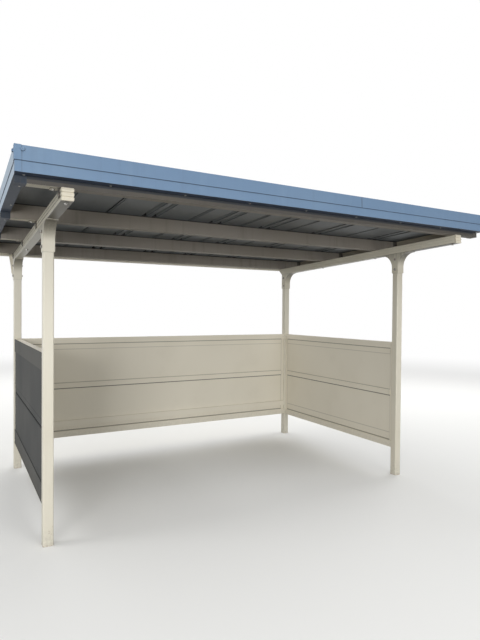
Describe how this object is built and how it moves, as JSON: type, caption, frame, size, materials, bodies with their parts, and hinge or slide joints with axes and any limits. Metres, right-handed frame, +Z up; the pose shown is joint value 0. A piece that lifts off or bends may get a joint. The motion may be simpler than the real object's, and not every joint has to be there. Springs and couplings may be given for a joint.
{
  "type": "bike shelter",
  "caption": "Open-fronted steel bicycle shelter: square posts with flared heads, a ribbed flat roof with a deep two-band edge, and low panelled walls at the back and both sides.",
  "frame": {"origin": "on the floor, under the middle of the roof's outline", "axes": "+Z up, +Y from the open front to the back wall, +X to the right for someone who looks in from the front"},
  "size_m": [3.293, 2.531, 2.1216],
  "materials": {
    "cream_paint": "satin, weathered",
    "blue_grey_paint": "satin",
    "deck_coating": "matt, weathered"
  },
  "bodies": {
    "root": {"post_front_left": "cream_paint", "post_front_right": "cream_paint", "post_back_left": "cream_paint", "post_back_right": "cream_paint", "post_head_front_left": "cream_paint", "post_head_front_right": "cream_paint", "post_head_back_left": "cream_paint", "post_head_back_right": "cream_paint", "arm_left": "cream_paint", "arm_right": "cream_paint", "arm_end_caps": "cream_paint", "purlin_front": "cream_paint", "purlin_second": "cream_paint", "purlin_third": "cream_paint", "purlin_back": "cream_paint", "deck_sheet_1": "deck_coating", "deck_sheet_2": "deck_coating", "deck_sheet_3": "deck_coating", "deck_sheet_4": "deck_coating", "deck_sheet_5": "deck_coating", "deck_sheet_6": "deck_coating", "fascia_front_upper": "blue_grey_paint", "fascia_right_upper": "blue_grey_paint", "fascia_back_upper": "blue_grey_paint", "fascia_left_upper": "blue_grey_paint", "fascia_front_lower": "blue_grey_paint", "fascia_right_lower": "blue_grey_paint", "fascia_back_lower": "blue_grey_paint", "fascia_left_lower": "blue_grey_paint", "roof_corner_caps": "blue_grey_paint", "rain_gutter": "cream_paint", "back_wall_top_rail": "cream_paint", "back_wall_upper_panel": "cream_paint", "back_wall_lower_panel": "cream_paint", "back_wall_bottom_rail": "cream_paint", "left_wall_top_rail": "cream_paint", "left_wall_upper_panel": "cream_paint", "left_wall_lower_panel": "cream_paint", "left_wall_bottom_rail": "cream_paint", "right_wall_top_rail": "cream_paint", "right_wall_upper_panel": "cream_paint", "right_wall_lower_panel": "cream_paint", "right_wall_bottom_rail": "cream_paint", "wall_end_channels": "cream_paint", "back_wall_inner_rail": "cream_paint"}
  },
  "joints": []
}
